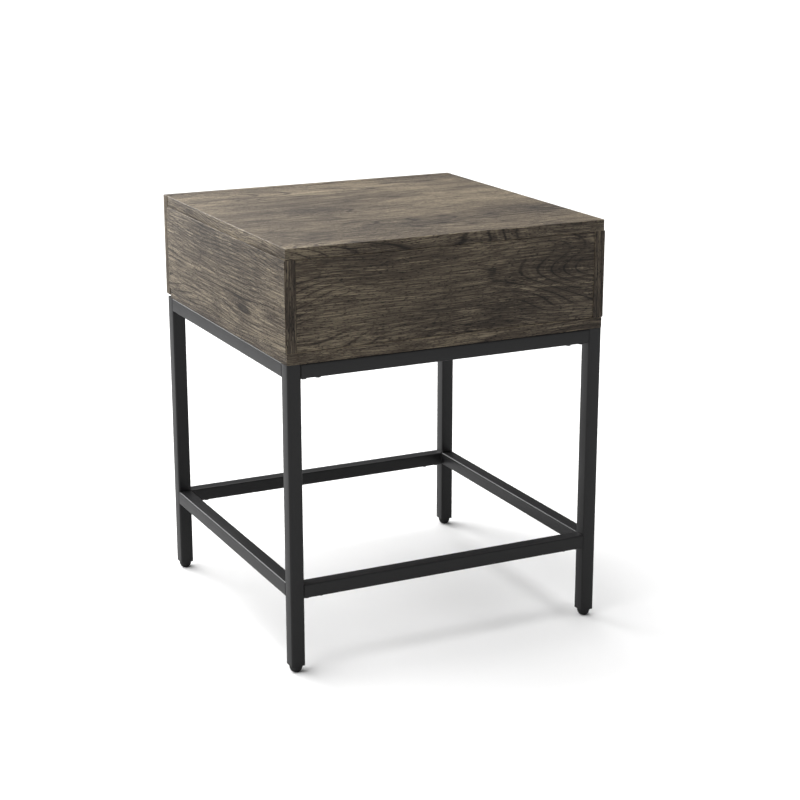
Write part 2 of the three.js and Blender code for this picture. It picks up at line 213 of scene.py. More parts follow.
def powder_coat():
    """Polyester powder, baked on: near black and half matt, with the faint orange peel of melted
    powder and slightly uneven gloss."""
    peel_size = 1.6 * MM
    cloud_size = 70 * MM
    material, tree, shader = new_material("powder_coated_steel")
    place_on = add(tree, "TexCoord", {}).outputs["Object"]
    peel = add(tree, "TexNoise", {"Vector": place_on, "Scale": 1 / peel_size, "Detail": 2.0})
    cloud = add(tree, "TexNoise", {"Vector": place_on, "Scale": 1 / cloud_size, "Detail": 3.0})
    colour = add(
        tree,
        "Mix",
        {"Factor": cloud.outputs["Fac"], 6: paint(0x1A1A1B), 7: paint(0x242425)},
        data_type="RGBA",
    )
    gloss = add(
        tree,
        "MapRange",
        {
            "Value": cloud.outputs["Fac"],
            "From Min": 0.3,
            "From Max": 0.7,
            "To Min": 0.30,
            "To Max": 0.38,
        },
    )
    bump = add(
        tree,
        "Bump",
        {"Height": peel.outputs["Fac"], "Strength": 0.35, "Distance": 0.05 * MM},
    )
    finish(tree, shader, colour.outputs[2], gloss.outputs[0], bump.outputs[0], IOR=1.5)
    return material


black_steel = powder_coat()
for end in ENDS:
    for side, sign in SIDES.items():
        node = f"leg_{end}_{side}"
        low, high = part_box(node)
        rail_low, rail_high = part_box(f"upper_rail_{side}")
        tube_size = rail_high.x - rail_low.x
        leg_low = (rail_low.x, low.y, low.z)
        leg_high = (rail_high.x, high.y, high.z)
        leg = folded_sheet(f"leg_tube_{end}_{side}", leg_low, leg_high, Z, TUBE_WALL, TUBE_CORNER)
        tongue_reach = (high.x - low.x) - tube_size
        tongue_half = tube_size / 2 - TUBE_WALL - TONGUE_CLEARANCE
        root = rail_low.x if sign > 0 else rail_high.x
        tongues = []
        for level in ("upper", "lower"):
            bar_low, bar_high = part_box(f"{level}_crossbar_{end}")
            middle = (bar_low + bar_high) / 2
            ends_x = sorted((root, root - sign * tongue_reach))
            tongue = block(
                "tongue",
                (ends_x[0], middle.y - tongue_half, middle.z - tongue_half),
                (ends_x[1], middle.y + tongue_half, middle.z + tongue_half),
            )
            finish_with(tongue, "BEVEL", width=TONGUE_EDGE, segments=FINE_STEPS)
            tongues.append(tongue)
        join(leg, *tongues)
        place(leg, "table", "black_steel", black_steel, node)

for level in ("upper", "lower"):
    for side in SIDES:
        node = f"{level}_rail_{side}"
        low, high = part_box(node)
        rail = folded_sheet(f"{level}_side_rail_{side}", low, high, Y, TUBE_WALL, TUBE_CORNER)
        place(rail, "table", "black_steel", black_steel, node)


# ---- Weld beads ----------------------------------------------------------------------------------
# Short MIG beads hold each side rail to its legs, laid on the inner face and the underside only,
# so that the outer faces stay clean. They are coated with the frame.

BEAD_RADIUS = 1.1 * MM
BEAD_PITCH = 1.3 * MM
BEAD_MARGIN = 2.5 * MM

bpy.ops.object.select_all(action="DESELECT")
bpy.ops.mesh.primitive_uv_sphere_add(segments=12, ring_count=8, radius=BEAD_RADIUS)
ripple = settle("weld_ripple")
for level in ("upper", "lower"):
    for side, sign in SIDES.items():
        low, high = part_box(f"{level}_rail_{side}")
        inner_x = low.x if sign > 0 else high.x
        for end, joint_y in zip(ENDS, (low.y, high.y)):
            ripples = []
            drop = (high.z - low.z) - 2 * BEAD_MARGIN
            count = int(drop / BEAD_PITCH)
            for index in range(count + 1):
                along = BEAD_MARGIN + index * BEAD_PITCH
                ripples.append(copy_of(ripple, "ripple", (inner_x, joint_y, low.z + along)))
                if level == "lower":
                    ripples.append(copy_of(ripple, "ripple", (low.x + along, joint_y, low.z)))
            bead = join(*ripples)
            bead.name = f"{level}_weld_{end}_{side}"
            smooth(bead)
            place(bead, "table", "black_steel", black_steel)
bpy.data.objects.remove(ripple)


# ---- Crossbars and their screws ------------------------------------------------------------------
# Four crossbars of the same tube slide over the tongues, so the frame packs flat and is bolted up.
# Two button-head screws hold each end from below. They are black-oxide steel with hex sockets.

SCREW_SIDES = 32


def turned(name, profile, sides=SCREW_SIDES):
    """A closed piece turned about an upright axis. Its profile is radii and heights, going up."""
    radius, height = profile[0]
    bpy.ops.object.select_all(action="DESELECT")
    bpy.ops.mesh.primitive_circle_add(
        vertices=sides, radius=radius, fill_type="NGON", location=(0, 0, height)
    )
    piece = settle(name)
    bpy.ops.object.mode_set(mode="EDIT")
    bpy.ops.mesh.select_all(action="SELECT")
    for next_radius, next_height in profile[1:]:
        rise = (0, 0, next_height - height)
        bpy.ops.mesh.extrude_region_move(TRANSFORM_OT_translate={"value": rise})
        grow = next_radius / radius
        bpy.ops.transform.resize(value=(grow, grow, 1), center_override=(0, 0, next_height))
        radius, height = next_radius, next_height
    bpy.ops.mesh.select_all(action="SELECT")
    bpy.ops.mesh.normals_make_consistent(inside=False)
    bpy.ops.object.mode_set(mode="OBJECT")
    smooth(piece)
    return piece


def cut(piece, cutter):
    """Cuts one piece with another, and throws the cutter away."""
    finish_with(piece, "BOOLEAN", operation="DIFFERENCE", object=cutter, solver="EXACT")
    bpy.data.objects.remove(cutter)
    return piece


def button_head(name, shank, head, rise, flats, socket, length):
    """A button-head socket screw, head down, with its head's underside at the origin."""
    crown = [(head * 0.55, -rise), (head * 0.72, -rise * 0.93), (head * 0.86, -rise * 0.75)]
    rim = [(head * 0.96, -rise * 0.45), (head, -rise * 0.15), (head, 0), (shank, 0)]
    tip = [(shank, length - shank * 0.3), (shank * 0.7, length)]
    screw = turned(name, crown + rim + tip)
    bpy.ops.object.select_all(action="DESELECT")
    bpy.ops.mesh.primitive_cylinder_add(
        vertices=6, radius=flats / math.sqrt(3), depth=2 * socket, location=(0, 0, -rise)
    )
    cut(screw, settle("hex_key"))
    smooth(screw)
    return screw


def black_oxide():
    """Steel blackened in hot salts and oiled: a thin dark oxide that still shines like metal, with
    small scuffs from the key."""
    scuff_size = 0.8 * MM
    material, tree, shader = new_material("black_oxide_steel")
    place_on = add(tree, "TexCoord", {}).outputs["Object"]
    scuffs = add(tree, "TexNoise", {"Vector": place_on, "Scale": 1 / scuff_size, "Detail": 4.0})
    colour = add(
        tree,
        "Mix",
        {"Factor": scuffs.outputs["Fac"], 6: paint(0x18181A), 7: paint(0x343438)},
        data_type="RGBA",
    )
    gloss = add(tree, "MapRange", {"Value": scuffs.outputs["Fac"], "To Min": 0.25, "To Max": 0.5})
    finish(tree, shader, colour.outputs[2], gloss.outputs[0], Metallic=0.7)
    return material


black_screw = black_oxide()
for level in ("upper", "lower"):
    for end in ENDS:
        node = f"{level}_crossbar_{end}"
        low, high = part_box(node)
        bar = folded_sheet(f"{level}_cross_tube_{end}", low, high, X, TUBE_WALL, TUBE_CORNER)
        place(bar, "table", "black_steel", black_steel, node)

sample_low, sample_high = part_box("upper_front_left_screw_1")
SCREW_HEAD = (sample_high.x - sample_low.x) / 2
SCREW_RISE = 2.7 * MM
crossbar_screw = button_head(
    "crossbar_screw",
    shank=2.5 * MM,
    head=SCREW_HEAD,
    rise=SCREW_RISE,
    flats=3 * MM,
    socket=1.6 * MM,
    length=sample_high.z - sample_low.z - SCREW_RISE,
)
for level in ("upper", "lower"):
    for end in ENDS:
        for side in SIDES:
            for number in (1, 2):
                node = f"{level}_{end}_{side}_screw_{number}"
                low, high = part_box(node)
                at = ((low.x + high.x) / 2, (low.y + high.y) / 2, low.z + SCREW_RISE)
                screw = copy_of(crossbar_screw, f"button_screw_{level}_{end}_{side}_{number}", at)
                place(screw, "table", "black_screw", black_screw, node)
bpy.data.objects.remove(crossbar_screw)


# ---- Feet ----------------------------------------------------------------------------------------
# A moulded plug closes each leg, and a domed levelling foot screws up into it. Both are black
# nylon, and the foot is moulded round a threaded steel stud, so each corner can be levelled.

FOOT_SIDES = 48
DOME_STEPS = 12
PAD_RADIUS = 3.6 * MM
DOME_HEIGHT = 9.2 * MM
STUD_RADIUS = 2.9 * MM
THREAD_PITCH = 1.25 * MM
THREAD_DEPTH = 0.35 * MM
PLUG_FLANGE = 1.2 * MM
PLUG_CLEARANCE = 0.2 * MM
PLUG_EDGE = 0.15 * MM
STUD_CLEARANCE = 0.2 * MM
STUD_HOLE_LENGTH = 40 * MM


def moulded(name, dark, light, rough):
    """Moulded thermoplastic: one even colour, half matt, with its mould's fine spark texture."""
    spark_size = 0.7 * MM
    uneven = 0.08  # how far the roughness strays from its middle, either way
    material, tree, shader = new_material(name)
    place_on = add(tree, "TexCoord", {}).outputs["Object"]
    spark = add(tree, "TexNoise", {"Vector": place_on, "Scale": 1 / spark_size, "Detail": 3.0})
    colour = add(
        tree,
        "Mix",
        {"Factor": spark.outputs["Fac"], 6: paint(dark), 7: paint(light)},
        data_type="RGBA",
    )
    gloss = add(
        tree,
        "MapRange",
        {"Value": spark.outputs["Fac"], "To Min": rough - uneven, "To Max": rough + uneven},
    )
    bump = add(
        tree,
        "Bump",
        {"Height": spark.outputs["Fac"], "Strength": 0.3, "Distance": 0.04 * MM},
    )
    finish(tree, shader, colour.outputs[2], gloss.outputs[0], bump.outputs[0], IOR=1.53)
    return material


black_nylon = moulded("black_nylon", 0x131313, 0x202020, 0.48)
foot_low, foot_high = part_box("levelling_foot_front_left")
FOOT_RADIUS = (foot_high.x - foot_low.x) / 2
dome = []
for step in range(DOME_STEPS + 1):
    angle = step / DOME_STEPS * math.pi / 2
    bulge = (FOOT_RADIUS - PAD_RADIUS) * math.sin(angle)
    dome.append((PAD_RADIUS + bulge, DOME_HEIGHT * (1 - math.cos(angle))))
stud = [(STUD_RADIUS, DOME_HEIGHT)]
turns = int((foot_high.z - DOME_HEIGHT) / THREAD_PITCH)
for turn in range(turns):
    base = DOME_HEIGHT + turn * THREAD_PITCH
    stud.append((STUD_RADIUS - THREAD_DEPTH, base + THREAD_PITCH * 0.25))
    stud.append((STUD_RADIUS - THREAD_DEPTH, base + THREAD_PITCH * 0.4))
    stud.append((STUD_RADIUS, base + THREAD_PITCH * 0.65))
    stud.append((STUD_RADIUS, base + THREAD_PITCH * 0.9))
stud.append((STUD_RADIUS - THREAD_DEPTH, foot_high.z))
foot_shape = turned("foot_shape", dome + stud, FOOT_SIDES)

for end in ENDS:
    for side in SIDES:
        node = f"tube_insert_{end}_{side}"
        low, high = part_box(node)
        flange_top = low.z + PLUG_FLANGE
        flange = block(f"leg_plug_{end}_{side}", low, (high.x, high.y, flange_top))
        bpy.ops.object.mode_set(mode="EDIT")
        select(flange, "edges", runs_along(Z))
        bpy.ops.mesh.bevel(offset=TUBE_CORNER, segments=CORNER_STEPS)
        select(flange, "faces", faces_along(Z, 1))
        bpy.ops.mesh.inset(thickness=TUBE_WALL + PLUG_CLEARANCE)
        bpy.ops.mesh.extrude_region_move(
            TRANSFORM_OT_translate={"value": (0, 0, high.z - flange_top)}
        )
        bpy.ops.object.mode_set(mode="OBJECT")
        bpy.ops.object.select_all(action="DESELECT")
        centre = ((low.x + high.x) / 2, (low.y + high.y) / 2, (low.z + high.z) / 2)
        bpy.ops.mesh.primitive_cylinder_add(
            vertices=FOOT_SIDES,
            radius=STUD_RADIUS + STUD_CLEARANCE,
            depth=STUD_HOLE_LENGTH,
            location=centre,
        )
        cut(flange, settle("stud_hole"))
        finish_with(flange, "BEVEL", width=PLUG_EDGE, segments=FINE_STEPS, limit_method="ANGLE")
        smooth(flange)
        place(flange, "table", "black_plastic", black_nylon, node)

        node = f"levelling_foot_{end}_{side}"
        low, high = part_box(node)
        at = ((low.x + high.x) / 2, (low.y + high.y) / 2, 0)
        foot = copy_of(foot_shape, f"domed_foot_{end}_{side}", at)
        place(foot, node, "black_plastic", black_nylon, node)
bpy.data.objects.remove(foot_shape)


# ---- Case ----------------------------------------------------------------------------------------
# Five particle boards, 15 mm thick: a top and a bottom that run right across, two sides between
# them that stand a little proud, and a finished back let in between all four. The faces are a
# printed wood-grain laminate, dark grey-brown, with bands of the same print round the edges.

BOARD_EDGE = 0.8 * MM
SIDE_EDGE = 0.35 * MM
EDGE_STEPS = 3
SHEET_STEP = 3.7  # how far on in the printed pattern the next board is cut
FLAT = 0.999  # the cosine above which a face belongs to a board's flats, not to its arrises


def board(name, low, high, edge=BOARD_EDGE):
    """A board between two corners, with its arrises eased."""
    piece = block(name, low, high)
    bpy.ops.object.mode_set(mode="EDIT")
    bpy.ops.mesh.select_all(action="SELECT")
    bpy.ops.mesh.bevel(offset=edge, segments=EDGE_STEPS)
    bpy.ops.object.mode_set(mode="OBJECT")
    smooth(piece)
    return piece


def laminate(grain):
    """Melamine paper printed with an aged, grey-brown open grain and pressed with a light emboss.
    The eye sees fine fibres that drift together, pale worn streaks, and a few thin dark growth
    lines that meander and close into arches. The arrises carry a painted highlight, paler in tone,
    and are smoother."""
    drift_size = 110 * MM
    drift_width = 26 * MM
    fibre_width = 0.9 * MM  # drawn about twice as coarse as the print, so that it shows
    streak_width = 1.9 * MM
    worn_width = 1.3 * MM
    mottle_size = 32 * MM
    patch_size = 120 * MM
    line_spacing = 8 * MM
    line_patch = 40 * MM
    arch_width = 70 * MM
    arch_lines = 30  # growth lines from the lowest of an arch's swell to the highest
    pore_width = 0.9 * MM
    shade = -0.79  # what the layers start from, so that they average to the print's own tone
    material, tree, shader = new_material(f"wood_laminate_grain_{'xyz'[grain]}")
    place_on = add(tree, "TexCoord", {}).outputs["Object"]
    number = add(tree, "Attribute", {}, attribute_name="board").outputs["Fac"]
    arris = add(tree, "Attribute", {}, attribute_name="arris").outputs["Fac"]

    def drawn_out(source, width, ratio, detail, roughness=0.5):
        """A pattern of a width across the grain, drawn out along it by a ratio."""
        scale = [1, 1, 1]
        scale[grain] = 1 / ratio
        place = add(tree, "Mapping", {"Vector": source, "Scale": scale}).outputs["Vector"]
        inputs = {
            "Vector": place,
            "W": number,
            "Scale": 1 / width,
            "Detail": detail,
            "Roughness": roughness,
        }
        return add(tree, "TexNoise", inputs, noise_dimensions="4D").outputs

    def built_up(start, *layers):
        """A sum of layers, each a pattern with its strength."""
        for layer, strength in layers:
            inputs = {0: layer, 1: strength, 2: start}
            start = add(tree, "Math", inputs, operation="MULTIPLY_ADD").outputs[0]
        return start

    across = [axis for axis in (X, Y, Z) if axis != grain]
    sway = [drift_width] * 3
    sway[grain] = 0
    drift = drawn_out(place_on, drift_size, 2.5, 1.0)["Color"]
    drifting = add(tree, "VectorMath", {0: drift, 1: sway, 2: place_on}, operation="MULTIPLY_ADD")
    flow = drifting.outputs[0]
    split = add(tree, "SeparateXYZ", {"Vector": flow})
    crosswise = built_up(split.outputs[across[0]], (split.outputs[across[1]], 1.0))
    arches = drawn_out(flow, arch_width, 5.5, 0.5)["Fac"]
    rings = built_up(0.0, (crosswise, 1 / line_spacing), (arches, arch_lines))
    wave = add(tree, "Math", {0: rings, 1: 0.5}, operation="PINGPONG").outputs[0]
    limits = {
        "fibres": (drawn_out(flow, fibre_width, 60, 2.0)["Fac"], 0.36, 0.64),
        "worn": (drawn_out(flow, worn_width, 40, 2.0)["Fac"], 0.54, 0.68),
        "pores": (drawn_out(flow, pore_width, 5, 1.0)["Fac"], 0.55, 0.66),
        "shown": (drawn_out(flow, line_patch, 4, 1.0)["Fac"], 0.4, 0.58),
        "dark": (wave, 0.36, 0.5),
        "pale": (wave, 0.14, 0.0),
    }
    clear = {}
    for name, (source, low, high) in limits.items():
        inputs = {"Value": source, "From Min": low, "From Max": high}
        between = add(tree, "MapRange", inputs, interpolation_type="SMOOTHSTEP")
        clear[name] = between.outputs["Result"]
    fibres, pores = clear["fibres"], clear["pores"]
    rise = built_up(clear["dark"], (clear["pale"], -0.3))
    shown = built_up(0.2, (clear["shown"], 0.8))
    line = add(tree, "Math", {0: rise, 1: shown}, operation="MULTIPLY").outputs[0]
    tone = built_up(
        shade,
        (drawn_out(flow, streak_width, 34, 3.0, 0.6)["Fac"], 0.5),
        (fibres, 0.32),
        (drawn_out(flow, mottle_size, 6, 3.0)["Fac"], 0.7),
        (drawn_out(flow, patch_size, 2, 3.0)["Fac"], 1.0),
        (clear["worn"], 0.32),
        (line, -0.4),
        (pores, -0.4),
        # painted highlight: the tone is raised along the eased arrises
        (arris, 0.12),
    )
    colour = add(tree, "ValToRGB", {"Fac": tone})
    stops = colour.color_ramp.elements
    stops[0].position, stops[0].color = 0.0, paint(0x231D18)
    stops[1].position, stops[1].color = 1.0, paint(0xA6987F)
    middle = stops.new(0.42)
    middle.color = paint(0x52473A)
    matt = add(tree, "MapRange", {"Value": tone, "To Min": 0.74, "To Max": 0.38})
    rough = built_up(matt.outputs["Result"], (arris, -0.1))
    relief = built_up(fibres, (pores, -0.8), (line, -0.3))
    bump = add(tree, "Bump", {"Height": relief, "Strength": 0.8, "Distance": 0.25 * MM})
    finish(tree, shader, colour.outputs["Color"], rough, bump.outputs[0], IOR=1.5)
    return material


wood = [laminate(axis) for axis in (X, Y, Z)]
boards_cut = 0


def clad(piece, grains, body, slot, node):
    """Lays the laminate on a board: grains says which way it runs on faces along X, Y and Z."""
    global boards_cut
    boards_cut += 1
    place(piece, body, slot, wood[X], node)
    piece.data.materials.append(wood[Y])
    piece.data.materials.append(wood[Z])
    for face in piece.data.polygons:
        facing = max((X, Y, Z), key=lambda axis: abs(face.normal[axis]))
        face.material_index = grains[facing]
    flat = set()
    for face in piece.data.polygons:
        if max(abs(part) for part in face.normal) > FLAT:
            flat.update(face.vertices)
    count = len(piece.data.vertices)
    number = piece.data.attributes.new("board", "FLOAT", "POINT")
    number.data.foreach_set("value", [SHEET_STEP * boards_cut] * count)
    # marks the eased arrises, which the laminate paints with a highlight and makes smoother
    arris = piece.data.attributes.new("arris", "FLOAT", "POINT")
    arris.data.foreach_set("value", [0.0 if index in flat else 1.0 for index in range(count)])


clad(board("top_board", *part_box("top_panel")), (Y, X, X), "table", "wood_laminate", "top_panel")
bottom_board = board("bottom_board", *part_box("bottom_panel"))
clad(bottom_board, (Y, X, X), "table", "wood_laminate", "bottom_panel")
for side in SIDES:
    node = f"side_panel_{side}"
    side_board = board(f"side_board_{side}", *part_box(node), SIDE_EDGE)
    clad(side_board, (Y, Z, Y), "table", "wood_laminate", node)
clad(board("back_board", *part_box("back_panel")), (Z, X, X), "table", "wood_laminate", "back_panel")

bolt_low, bolt_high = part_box("case_bolt_front_left")
BOLT_RISE = 3.4 * MM
case_bolt = button_head(
    "case_bolt",
    shank=3 * MM,
    head=(bolt_high.x - bolt_low.x) / 2,
    rise=BOLT_RISE,
    flats=4 * MM,
    socket=2.2 * MM,
    length=bolt_high.z - bolt_low.z - BOLT_RISE,
)
for end in ENDS:
    for side in SIDES:
        node = f"case_bolt_{end}_{side}"
        low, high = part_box(node)
        at = ((low.x + high.x) / 2, (low.y + high.y) / 2, low.z + BOLT_RISE)
        screw = copy_of(case_bolt, f"case_screw_{end}_{side}", at)
        place(screw, "table", "black_screw", black_screw, node)
bpy.data.objects.remove(case_bolt)


# ---- Drawer --------------------------------------------------------------------------------------
# A box with no handle, pushed to open. Its front is laminated like the case, its sides and back are
# 12 mm board in plain dark melamine, and its hardboard bottom sits in grooves. Cam fittings hold
# the front to the sides, and two countersunk screws hold each side to the back.

DRAWER_EDGE = 0.5 * MM
GROOVE_DEPTH = 5 * MM
GROOVE_CLEARANCE = 0.3 * MM
CAM_RADIUS = 7.5 * MM
CAM_DEPTH = 2.5 * MM
CAM_FROM_FRONT = 24 * MM
CAM_ABOVE_GROOVE = 14 * MM
CAM_BELOW_TOP = 18 * MM
HEAD_RADIUS = 3.5 * MM
POCKET_DEPTH = 3 * MM
SCREW_ABOVE_GROOVE = 7 * MM
SCREW_BELOW_TOP = 14 * MM
SHEET_EDGE = 0.3 * MM
WAVE_BANDS = 0.314  # the wave pattern's scale at one band to the metre


def drill(piece, radius, depth, at, axis):
    """Drills a blind hole of a depth each side of a place."""
    turns = ((0, math.pi / 2, 0), (math.pi / 2, 0, 0), (0, 0, 0))
    bpy.ops.object.select_all(action="DESELECT")
    bpy.ops.mesh.primitive_cylinder_add(
        vertices=SCREW_SIDES, radius=radius, depth=2 * depth, location=at, rotation=turns[axis]
    )
    return cut(piece, settle("drill"))


def cross_head(name, profile, reach, width, depth):
    """A turned fastener that faces up, with a cross-shaped recess in its top."""
    piece = turned(name, profile)
    top = profile[-1][1]
    for half_x, half_y in ((reach, width / 2), (width / 2, reach)):
        cut(piece, block("recess", (-half_x, -half_y, top - depth), (half_x, half_y, top + depth)))
    smooth(piece)
    return piece


def melamine():
    """Plain melamine paper, dark brown-grey, pressed with a fine linen emboss, so it has a soft
    even sheen and faint crossed threads."""
    thread_spacing = 1.2 * MM  # drawn about twice as coarse as the press plate, so that it shows
    cloud_size = 60 * MM
    material, tree, shader = new_material("dark_linen_melamine")
    place_on = add(tree, "TexCoord", {}).outputs["Object"]
    threads = []
    for direction in ("X", "Y", "Z"):
        weave = add(
            tree,
            "TexWave",
            {
                "Vector": place_on,
                "Scale": WAVE_BANDS / thread_spacing,
                "Distortion": 2.5,
                "Detail": 2.0,
            },
            bands_direction=direction,
        )
        threads.append(weave.outputs["Fac"])
    crossed = add(tree, "Math", {0: threads[0], 1: threads[1]}, operation="MAXIMUM").outputs[0]
    linen = add(tree, "Math", {0: crossed, 1: threads[2]}, operation="ADD").outputs[0]
    cloud = add(tree, "TexNoise", {"Vector": place_on, "Scale": 1 / cloud_size, "Detail": 4.0})
    fleck = add(tree, "Math", {0: linen, 1: 0.4, 2: cloud.outputs["Fac"]}, operation="MULTIPLY_ADD")
    colour = add(
        tree,
        "Mix",
        {"Factor": fleck.outputs[0], 6: paint(0x2F2A25), 7: paint(0x574F47)},
        data_type="RGBA",
    )
    gloss = add(tree, "MapRange", {"Value": linen, "To Min": 0.62, "To Max": 0.5})
    bump = add(tree, "Bump", {"Height": linen, "Strength": 0.6, "Distance": 0.08 * MM})
    finish(tree, shader, colour.outputs[2], gloss.outputs[0], bump.outputs[0], IOR=1.5)
    return material


def pressed_fibre():
    """Oil-tempered hardboard: brown wood fibre pressed hard, with dark and pale flecks."""
    fleck_size = 2.2 * MM
    hair_width = 0.8 * MM
    material, tree, shader = new_material("tempered_hardboard")
    place_on = add(tree, "TexCoord", {}).outputs["Object"]
    flecks = add(tree, "TexVoronoi", {"Vector": place_on, "Scale": 1 / fleck_size})
    hairs = add(
        tree,
        "TexNoise",
        {"Vector": place_on, "Scale": 1 / hair_width, "Detail": 3.0, "Distortion": 1.5},
    )
    mixed = add(
        tree,
        "Math",
        {0: flecks.outputs["Distance"], 1: 0.8, 2: hairs.outputs["Fac"]},
        operation="MULTIPLY_ADD",
    )
    colour = add(
        tree,
        "Mix",
        {"Factor": mixed.outputs[0], 6: paint(0x2E2319), 7: paint(0x7A6751)},
        data_type="RGBA",
    )
    gloss = add(tree, "MapRange", {"Value": mixed.outputs[0], "To Min": 0.6, "To Max": 0.45})
    bump = add(
        tree,
        "Bump",
        {"Height": hairs.outputs["Fac"], "Strength": 0.2, "Distance": 0.05 * MM},
    )
    finish(tree, shader, colour.outputs[2], gloss.outputs[0], bump.outputs[0], IOR=1.5)
    return material


def zinc_plate():
    """Cold-rolled steel with a bright zinc plate: a silvery metal with fine rolling lines along it
    and the faint blue and straw tints of its clear passivation."""
    line_width = 0.9 * MM
    tint_size = 28 * MM
    material, tree, shader = new_material("bright_zinc_plate")
    place_on = add(tree, "TexCoord", {}).outputs["Object"]
    drawn = add(tree, "Mapping", {"Vector": place_on, "Scale": (1, 1 / 40, 1)}).outputs["Vector"]
    lines = add(tree, "TexNoise", {"Vector": drawn, "Scale": 1 / line_width, "Detail": 3.0})
    tints = add(tree, "TexNoise", {"Vector": place_on, "Scale": 1 / tint_size, "Detail": 3.0})
    colour = add(
        tree,
        "Mix",
        {"Factor": tints.outputs["Fac"], 6: paint(0xA9B0B8), 7: paint(0xC6C3B8)},
        data_type="RGBA",
    )
    gloss = add(tree, "MapRange", {"Value": lines.outputs["Fac"], "To Min": 0.22, "To Max": 0.46})
    bump = add(
        tree,
        "Bump",
        {"Height": lines.outputs["Fac"], "Strength": 0.2, "Distance": 0.03 * MM},
    )
    finish(tree, shader, colour.outputs[2], gloss.outputs[0], bump.outputs[0], Metallic=1.0)
    return material


bright_zinc = zinc_plate()
drawer_melamine = melamine()
bottom_low, bottom_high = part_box("drawer_bottom")
groove_low_z = bottom_low.z - GROOVE_CLEARANCE
groove_high_z = bottom_high.z + GROOVE_CLEARANCE
side_low, side_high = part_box("drawer_side_right")
drawer_half_width = side_high.x

front_low, front_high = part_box("drawer_front")
drawer_front = board("drawer_front_board", front_low, front_high)
groove = block(
    "groove",
    (-drawer_half_width, front_high.y - GROOVE_DEPTH, groove_low_z),
    (drawer_half_width, front_high.y + GROOVE_DEPTH, groove_high_z),
)
cut(drawer_front, groove)
clad(drawer_front, (Z, X, X), "drawer", "wood_laminate", "drawer_front")

cam = cross_head(
    "cam_disc",
    [
        (CAM_RADIUS - 0.2 * MM, -2.4 * MM),
        (CAM_RADIUS - 0.2 * MM, 0.1 * MM),
        (CAM_RADIUS - 0.5 * MM, 0.3 * MM),
        (CAM_RADIUS - 1.6 * MM, 0.3 * MM),
        (CAM_RADIUS - 1.9 * MM, 0),
    ],
    reach=4 * MM,
    width=1.3 * MM,
    depth=1.4 * MM,
)
sunk_screw = cross_head(
    "sunk_screw",
    [
        (1.6 * MM, -POCKET_DEPTH + 0.1 * MM),
        (HEAD_RADIUS - 0.3 * MM, -0.3 * MM),
        (HEAD_RADIUS - 0.1 * MM, 0),
        (HEAD_RADIUS - 0.4 * MM, 0.1 * MM),
    ],
    reach=2 * MM,
    width=0.9 * MM,
    depth=1.3 * MM,
)
back_low, back_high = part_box("drawer_back")
back_middle_y = (back_low.y + back_high.y) / 2
cam_y = side_low.y + CAM_FROM_FRONT
for side, sign in SIDES.items():
    node = f"drawer_side_{side}"
    low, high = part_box(node)
    inner_x = low.x if sign > 0 else high.x
    outer_x = high.x if sign > 0 else low.x
    board_made = board(f"drawer_side_board_{side}", low, high, DRAWER_EDGE)
    reach_x = sorted((inner_x - sign * GROOVE_DEPTH, inner_x + sign * GROOVE_DEPTH))
    cut(
        board_made,
        block(
            "groove",
            (reach_x[0], low.y - GROOVE_DEPTH, groove_low_z),
            (reach_x[1], high.y + GROOVE_DEPTH, groove_high_z),
        ),
    )
    heights = (groove_high_z + CAM_ABOVE_GROOVE, high.z - CAM_BELOW_TOP)
    for number, height in enumerate(heights, 1):
        at = (inner_x, cam_y, height)
        drill(board_made, CAM_RADIUS, CAM_DEPTH, at, X)
        fitting = copy_of(cam, f"drawer_cam_{side}_{number}", at, (-sign, 0, 0))
        place(fitting, "drawer", "zinc_steel", bright_zinc)
    heights = (groove_high_z + SCREW_ABOVE_GROOVE, high.z - SCREW_BELOW_TOP)
    for number, height in enumerate(heights, 1):
        at = (outer_x, back_middle_y, height)
        drill(board_made, HEAD_RADIUS, POCKET_DEPTH, at, X)
        screw = copy_of(sunk_screw, f"drawer_back_screw_{side}_{number}", at, (sign, 0, 0))
        place(screw, "drawer", "zinc_steel", bright_zinc)
    smooth(board_made)
    place(board_made, "drawer", "drawer_board", drawer_melamine, node)

back_board = board("drawer_back_board", back_low, back_high, DRAWER_EDGE)
place(back_board, "drawer", "drawer_board", drawer_melamine, "drawer_back")
bottom_sheet = board("drawer_bottom_sheet", bottom_low, bottom_high, SHEET_EDGE)
place(bottom_sheet, "drawer", "hardboard", pressed_fibre(), "drawer_bottom")


# ---- Drawer slides -------------------------------------------------------------------------------
# Three-member ball-bearing slides, roll-formed from 1.2 mm zinc-plated steel. The outer member is
# screwed to the case, the inner one to the drawer, and the middle one runs between them on balls
# that pressed-steel cages hold apart. A black plastic lever lets the drawer off its slides.

SLIDE_SHEET = 1.2 * MM
SLIDE_CORNER = 1.8 * MM
BALL_RADIUS = 1 * MM
BALL_PITCH = 6 * MM
BALLS_IN_CAGE = 15
CAGE_THICKNESS = 0.5 * MM
CAGE_WIDTH = 4.5 * MM
CAGE_EDGE = 0.15 * MM
CAGE_FROM_FRONT = 8 * MM
ACCESS_RADIUS = 5 * MM
LEVER_LENGTH = 46 * MM
LEVER_HEIGHT = 9 * MM
LEVER_THICKNESS = 1.4 * MM
LEVER_CORNER = 2.4 * MM
LEVER_TIP = 0.55  # the tip's height as a share of the grip's
LEVER_RIM = 0.8 * MM
LEVER_RIB = 0.7 * MM
LEVER_ALONG = 0.32  # its place on the drawer's member, as a share of the length from the front
SCREWS_ALONG = (0.12, 0.5, 0.88)
FINE_EDGE = 0.2 * MM

